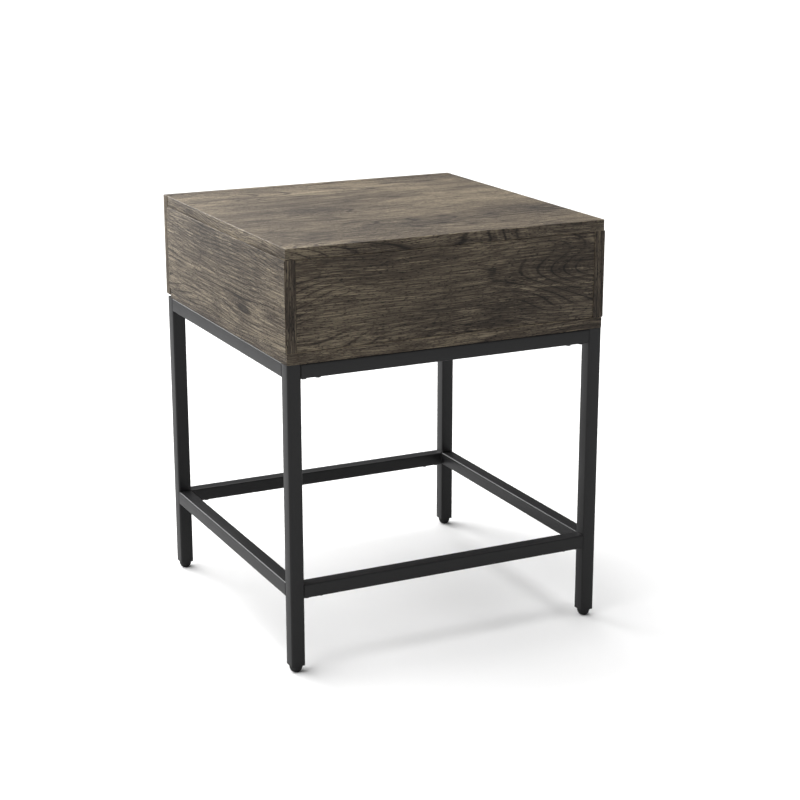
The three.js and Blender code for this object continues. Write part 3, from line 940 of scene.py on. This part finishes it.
pan_screw = cross_head(
    "pan_screw",
    [
        (1.8 * MM, -1 * MM),
        (1.8 * MM, 0),
        (3.2 * MM, 0),
        (3.2 * MM, 0.7 * MM),
        (2.7 * MM, 1.3 * MM),
        (1.8 * MM, 1.6 * MM),
    ],
    reach=1.5 * MM,
    width=0.8 * MM,
    depth=0.9 * MM,
)
flat_screw = cross_head(
    "flat_screw",
    [(2 * MM, -0.6 * MM), (3.4 * MM, 0), (3.4 * MM, 0.3 * MM), (2.4 * MM, 0.6 * MM)],
    reach=1.5 * MM,
    width=0.8 * MM,
    depth=0.5 * MM,
)


def ball_cage(name, low, high, middle_x, height):
    """A row of steel balls in a flat cage, at a height, along a stretch of a slide."""
    strip = block(
        name,
        (middle_x - CAGE_WIDTH / 2, low, height - CAGE_THICKNESS / 2),
        (middle_x + CAGE_WIDTH / 2, high, height + CAGE_THICKNESS / 2),
    )
    finish_with(strip, "BEVEL", width=CAGE_EDGE, segments=FINE_STEPS)
    first = low + (high - low - (BALLS_IN_CAGE - 1) * BALL_PITCH) / 2
    bpy.ops.object.select_all(action="DESELECT")
    bpy.ops.mesh.primitive_uv_sphere_add(
        segments=10, ring_count=6, radius=BALL_RADIUS, location=(middle_x, first, height)
    )
    balls = settle("balls")
    finish_with(
        balls,
        "ARRAY",
        count=BALLS_IN_CAGE,
        use_relative_offset=False,
        use_constant_offset=True,
        constant_offset_displace=(0, BALL_PITCH, 0),
    )
    join(strip, balls)
    smooth(strip)
    return strip


lever = block(
    "lever",
    (-LEVER_HEIGHT / 2, -LEVER_LENGTH / 2, 0),
    (LEVER_HEIGHT / 2, LEVER_LENGTH / 2, LEVER_THICKNESS),
)
bpy.ops.object.mode_set(mode="EDIT")
select(lever, "edges", runs_along(Z))
bpy.ops.mesh.bevel(offset=LEVER_CORNER, segments=6)
select(lever, "verts", lambda vert: vert.co.y > 0)
bpy.ops.transform.resize(value=(LEVER_TIP, 1, 1), center_override=(-LEVER_HEIGHT / 2, 0, 0))
select(lever, "faces", faces_along(Z, 1))
bpy.ops.mesh.inset(thickness=LEVER_RIM)
bpy.ops.mesh.extrude_region_move(TRANSFORM_OT_translate={"value": (0, 0, LEVER_RIB)})
bpy.ops.object.mode_set(mode="OBJECT")
finish_with(lever, "BEVEL", width=FINE_EDGE, segments=FINE_STEPS, limit_method="ANGLE")
smooth(lever)

cage_length = BALLS_IN_CAGE * BALL_PITCH
for side, sign in SIDES.items():
    slide_name = f"slide_outer_{side}"
    outer_low, outer_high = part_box(slide_name)
    outer = folded_sheet(
        f"case_member_{side}", outer_low, outer_high, Y, SLIDE_SHEET, SLIDE_CORNER, (X, -sign)
    )
    place(outer, "table", "zinc_steel", bright_zinc, slide_name)

    middle_body = f"slide_middle_{side}"
    middle_low, middle_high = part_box(middle_body)
    middle = folded_sheet(
        f"middle_member_{side}", middle_low, middle_high, Y, SLIDE_SHEET, SLIDE_CORNER, (X, -sign)
    )
    middle_web = middle_high.x if sign > 0 else middle_low.x
    middle_z = (middle_low.z + middle_high.z) / 2

    slide_name = f"slide_inner_{side}"
    inner_low, inner_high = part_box(slide_name)
    inner = folded_sheet(
        f"drawer_member_{side}", inner_low, inner_high, Y, SLIDE_SHEET, SLIDE_CORNER, (X, sign)
    )
    place(inner, "drawer", "zinc_steel", bright_zinc, slide_name)

    outer_web = outer_high.x if sign > 0 else outer_low.x
    inner_web = inner_low.x if sign > 0 else inner_high.x
    length = inner_high.y - inner_low.y
    for number, along in enumerate(SCREWS_ALONG, 1):
        y = inner_low.y + along * length
        at = (inner_web + sign * SLIDE_SHEET, y, middle_z)
        screw = copy_of(pan_screw, f"drawer_member_screw_{side}_{number}", at, (sign, 0, 0))
        place(screw, "drawer", "zinc_steel", bright_zinc)
        at = (outer_web - sign * SLIDE_SHEET, y, middle_z)
        screw = copy_of(flat_screw, f"case_member_screw_{side}_{number}", at, (-sign, 0, 0))
        place(screw, "table", "zinc_steel", bright_zinc)
        drill(middle, ACCESS_RADIUS, 2 * SLIDE_SHEET, (middle_web, y, middle_z), X)
    smooth(middle)
    place(middle, middle_body, "zinc_steel", bright_zinc, middle_body)

    y = inner_low.y + LEVER_ALONG * length
    at = (inner_web + sign * SLIDE_SHEET, y, middle_z)
    release = copy_of(lever, f"release_lever_{side}", at, (sign, 0, 0))
    place(release, "drawer", "black_plastic", black_nylon)

    cage_x = (middle_low.x + middle_high.x) / 2
    cages = (
        ("case", "table", outer_low, outer_high, middle_low, middle_high),
        ("drawer", middle_body, middle_low, middle_high, inner_low, inner_high),
    )
    for where, body, around_low, around_high, inside_low, inside_high in cages:
        start = middle_low.y + CAGE_FROM_FRONT
        heights = {
            "upper": (around_high.z - SLIDE_SHEET + inside_high.z) / 2,
            "lower": (around_low.z + SLIDE_SHEET + inside_low.z) / 2,
        }
        for row, height in heights.items():
            name = f"{where}_cage_{row}_{side}"
            cage = ball_cage(name, start, start + cage_length, cage_x, height)
            place(cage, body, "zinc_steel", bright_zinc)


# ---- Push latch ----------------------------------------------------------------------------------
# A moulded grey housing screwed to the back panel by two ears. Its spring plunger stands just off a
# zinc striker plate on the drawer's back, and pushes the closed drawer out when it is pressed.

EAR_THICKNESS = 3 * MM
LATCH_HALF_WIDTH = 10 * MM
LATCH_CORNER = 1.6 * MM
LATCH_EDGE = 0.3 * MM
NOSE_LENGTH = 3 * MM
NOSE_STEP = 0.9 * MM
EAR_CORNER = 5 * MM
EAR_SCREW_INSET = 5.5 * MM
BORE_RADIUS = 4.8 * MM
BORE_BACK_WALL = 8 * MM
STRIKER_CORNER = 3 * MM
STRIKER_SCREW_INSET = 3.8 * MM

grey_nylon = moulded("grey_nylon", 0x7C7E80, 0x8F9193, 0.5)
low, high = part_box("latch_housing")
middle_z = (low.z + high.z) / 2
housing = block(
    "latch_body",
    (-LATCH_HALF_WIDTH, low.y + NOSE_LENGTH, low.z),
    (LATCH_HALF_WIDTH, high.y, high.z),
)
bpy.ops.object.mode_set(mode="EDIT")
select(housing, "edges", runs_along(Y))
bpy.ops.mesh.bevel(offset=LATCH_CORNER, segments=4)
select(housing, "faces", faces_along(Y, -1))
bpy.ops.mesh.inset(thickness=NOSE_STEP)
bpy.ops.mesh.extrude_region_move(TRANSFORM_OT_translate={"value": (0, -NOSE_LENGTH, 0)})
bpy.ops.object.mode_set(mode="OBJECT")
ears = block("latch_ears", (low.x, high.y - EAR_THICKNESS, low.z), high)
bpy.ops.object.mode_set(mode="EDIT")
select(ears, "edges", runs_along(Y))
bpy.ops.mesh.bevel(offset=EAR_CORNER, segments=8)
bpy.ops.object.mode_set(mode="OBJECT")
finish_with(housing, "BOOLEAN", operation="UNION", object=ears, solver="EXACT")
bpy.data.objects.remove(ears)
bore_length = high.y - low.y - BORE_BACK_WALL
drill(housing, BORE_RADIUS, bore_length, (0, low.y, middle_z), Y)
for number, x in enumerate((low.x + EAR_SCREW_INSET, high.x - EAR_SCREW_INSET), 1):
    at = (x, high.y - EAR_THICKNESS, middle_z)
    screw = copy_of(pan_screw, f"latch_screw_{number}", at, (0, -1, 0))
    place(screw, "table", "zinc_steel", bright_zinc)
finish_with(housing, "BEVEL", width=LATCH_EDGE, segments=FINE_STEPS, limit_method="ANGLE")
smooth(housing)
place(housing, "table", "grey_plastic", grey_nylon, "latch_housing")

low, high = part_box("latch_plunger")
rod = (high.x - low.x) / 2
reach = high.y - low.y
profile = [
    (rod - 0.4 * MM, 0),
    (rod, 0.4 * MM),
    (rod, reach - 7.2 * MM),
    (rod - 0.5 * MM, reach - 6.8 * MM),
    (rod - 0.5 * MM, reach - 5.8 * MM),
    (rod, reach - 5.4 * MM),
    (rod, reach - 1.5 * MM),
    (rod - 0.4 * MM, reach - 0.9 * MM),
    (rod - 1.2 * MM, reach),
    (rod - 1.6 * MM, reach),
    (rod - 1.8 * MM, reach - 0.3 * MM),
]
rod_shape = turned("rod_shape", profile, FOOT_SIDES)
plunger = copy_of(rod_shape, "latch_rod", (0, high.y, middle_z), (0, -1, 0))
bpy.data.objects.remove(rod_shape)
place(plunger, "latch_plunger", "grey_plastic", grey_nylon, "latch_plunger")

low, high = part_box("latch_striker")
striker = block("striker_plate", low, high)
bpy.ops.object.mode_set(mode="EDIT")
select(striker, "edges", runs_along(Y))
bpy.ops.mesh.bevel(offset=STRIKER_CORNER, segments=6)
bpy.ops.object.mode_set(mode="OBJECT")
finish_with(striker, "BEVEL", width=FINE_EDGE, segments=FINE_STEPS, limit_method="ANGLE")
smooth(striker)
place(striker, "drawer", "zinc_steel", bright_zinc, "latch_striker")
for number, z in enumerate((low.z + STRIKER_SCREW_INSET, high.z - STRIKER_SCREW_INSET), 1):
    screw = copy_of(flat_screw, f"striker_screw_{number}", (0, high.y, z), (0, 1, 0))
    place(screw, "drawer", "zinc_steel", bright_zinc)
for sample in (cam, sunk_screw, pan_screw, flat_screw, lever):
    bpy.data.objects.remove(sample)


# ---- Studio --------------------------------------------------------------------------------------
# A plain pale floor that runs out of sight, one broad soft light high on the table's right, a weak
# fill that is stronger in front, a narrow edge light, and a dark card low in front that keeps the
# glare off the rails. The camera looks at the finished back and the right side from a little above.

FLOOR_RADIUS = 40
KEY_STRENGTH = 4.4
KEY_TOWARDS = Vector((1.25, -1.1, 3.0))
KEY_ANGLE = math.radians(80)
FILL_BEHIND = 0.85
FILL_BEFORE = 0.06
RIM_WATTS = 13
RIM_SIZE = (0.7, 0.9)
RIM_PLACE = (0.62, -1.65, 1.15)
RIM_TOWARDS = Vector((0.62, -1.5, 0.8))
CARD_TOWARDS = (-0.42, -0.86, 0.27)
CARD_SHADE = 0.15
CARD_RIM = 0.7  # the cosines at which the card's edge starts and is full
CARD_FULL = 0.95
FLOOR_GRAIN = 0.04


def floor_paint():
    """Matt white studio paint. It looks white, and throws only part of its light on the table."""
    material, tree, shader = new_material("matt_white_floor")
    place_on = add(tree, "TexCoord", {}).outputs["Object"]
    grain_size = 1 / 900  # about 1.1 mm
    grain = add(tree, "TexNoise", {"Vector": place_on, "Scale": 1 / grain_size})
    seen = add(tree, "LightPath", {}).outputs["Is Camera Ray"]
    inputs = {0: grain.outputs["Fac"], 1: FLOOR_GRAIN, 2: seen}
    share = add(tree, "Math", inputs, operation="MULTIPLY_ADD")
    tint = add(
        tree,
        "Mix",
        {"Factor": share.outputs[0], 6: paint(0xA4A4A4), 7: paint(0xF2F2F2)},
        data_type="RGBA",
    )
    tree.links.new(tint.outputs[2], shader.inputs["Base Color"])
    shader.inputs["Roughness"].default_value = 0.9
    shader.inputs["Specular IOR Level"].default_value = 0.1
    return material


bpy.ops.object.select_all(action="DESELECT")
bpy.ops.mesh.primitive_circle_add(vertices=96, radius=FLOOR_RADIUS, fill_type="NGON")
floor = settle("studio_floor")
floor.data.materials.append(floor_paint())

key = bpy.data.lights.new("key_light", "SUN")
key.energy = KEY_STRENGTH
key.angle = KEY_ANGLE
key_light = bpy.data.objects.new("key_light", key)
key_light.rotation_euler = KEY_TOWARDS.to_track_quat("Z", "Y").to_euler()
bpy.context.scene.collection.objects.link(key_light)

rim = bpy.data.lights.new("rim_light", "AREA")
rim.shape = "RECTANGLE"
rim.size, rim.size_y = RIM_SIZE
rim.energy = RIM_WATTS
rim_light = bpy.data.objects.new("rim_light", rim)
rim_light.location = RIM_PLACE
rim_light.rotation_euler = RIM_TOWARDS.to_track_quat("Z", "Y").to_euler()
bpy.context.scene.collection.objects.link(rim_light)

world = bpy.data.worlds.new("studio")
world.use_nodes = True
bpy.context.scene.world = world
sky = world.node_tree
backdrop = sky.nodes["Background"]
seen = add(sky, "LightPath", {}).outputs["Is Camera Ray"]
direction = add(sky, "TexCoord", {}).outputs["Generated"]
around = add(sky, "SeparateXYZ", {"Vector": direction})
fill = add(
    sky,
    "MapRange",
    {"Value": around.outputs["Y"], "From Min": -1.0, "To Min": FILL_BEHIND, "To Max": FILL_BEFORE},
)
facing_card = add(
    sky,
    "VectorMath",
    {0: direction, 1: CARD_TOWARDS},
    operation="DOT_PRODUCT",
).outputs["Value"]
card = add(
    sky,
    "MapRange",
    {
        "Value": facing_card,
        "From Min": CARD_RIM,
        "From Max": CARD_FULL,
        "To Min": 1.0,
        "To Max": CARD_SHADE,
    },
    interpolation_type="SMOOTHSTEP",
)
shaded = add(sky, "Math", {0: fill.outputs[0], 1: card.outputs[0]}, operation="MULTIPLY")
glow = add(sky, "Mix", {"Factor": seen, "A": shaded.outputs[0], "B": 1.0}, data_type="FLOAT")
sky.links.new(glow.outputs[0], backdrop.inputs["Strength"])
backdrop.inputs["Color"].default_value = (1, 1, 1, 1)
bpy.context.scene.view_settings.view_transform = "Standard"

CAMERA_AZIMUTH = math.radians(153.8)
CAMERA_ELEVATION = math.radians(15.88)
CAMERA_DISTANCE = 2.56
CAMERA_TARGET = Vector((-0.019, 0.037, 0.291))
CAMERA_LENS = 82.7
flat_share = math.cos(CAMERA_ELEVATION)
towards = Vector(
    (
        math.sin(CAMERA_AZIMUTH) * flat_share,
        -math.cos(CAMERA_AZIMUTH) * flat_share,
        math.sin(CAMERA_ELEVATION),
    )
)
camera = bpy.data.objects.new("camera", bpy.data.cameras.new("camera"))
camera.data.lens = CAMERA_LENS
camera.location = CAMERA_TARGET + towards * CAMERA_DISTANCE
camera.rotation_euler = (-towards).to_track_quat("-Z", "Y").to_euler()
bpy.context.scene.collection.objects.link(camera)
bpy.context.scene.camera = camera
